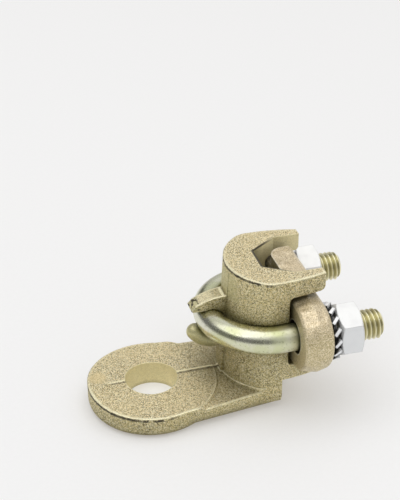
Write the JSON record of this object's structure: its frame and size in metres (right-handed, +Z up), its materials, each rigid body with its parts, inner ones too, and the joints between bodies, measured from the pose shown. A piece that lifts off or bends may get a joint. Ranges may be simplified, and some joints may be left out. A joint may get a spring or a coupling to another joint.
{
  "type": "angled mechanical cable lug",
  "caption": "Cast brass cable lug with a round drilled palm and an upright clamp column; a captive U-bolt draws a saddle onto the cable with nuts and toothed washers.",
  "frame": {"origin": "centre of the palm's stud hole, on the flat contact face under the palm", "axes": "+Z up along the stud hole, +X from the hole towards the clamp column, Y across the two U-bolt legs"},
  "size_m": [0.0748, 0.0494, 0.0389],
  "materials": {
    "cast_brass": "sand-blasted as-cast brass",
    "yellow_zinc": "bright steel with a yellow-green passivated zinc plating",
    "saddle_brass": "as-cast brass, tumbled smoother than the body",
    "washer_zinc": "bright zinc-plated spring steel",
    "nut_zinc": "bright zinc-plated steel"
  },
  "bodies": {
    "lug": {"lug_body": "cast_brass", "u_bolt": "yellow_zinc"},
    "saddle": {"saddle": "saddle_brass", "front_washer": "washer_zinc", "rear_washer": "washer_zinc"},
    "front_nut": {"front_nut": "nut_zinc"},
    "rear_nut": {"rear_nut": "nut_zinc"}
  },
  "joints": [
    {"name": "saddle_slide", "type": "slide", "parent": "lug", "child": "saddle", "axis": [1, 0, 0], "range_m": [-0.0007, 0.0062]},
    {"name": "front_nut_turn", "type": "hinge", "parent": "saddle", "child": "front_nut", "pos_m": [0.0482, -0.015, 0.0233], "axis": [1, 0, 0], "range_deg": [-201.7, 1785.7]},
    {"name": "rear_nut_turn", "type": "hinge", "parent": "saddle", "child": "rear_nut", "pos_m": [0.0482, 0.015, 0.0233], "axis": [1, 0, 0], "range_deg": [-201.7, 1785.7]}
  ],
  "couplings": [
    {"joint": "front_nut_turn", "follows": "saddle_slide", "rad_per_m": 5026.5},
    {"joint": "rear_nut_turn", "follows": "saddle_slide", "rad_per_m": 5026.5}
  ]
}
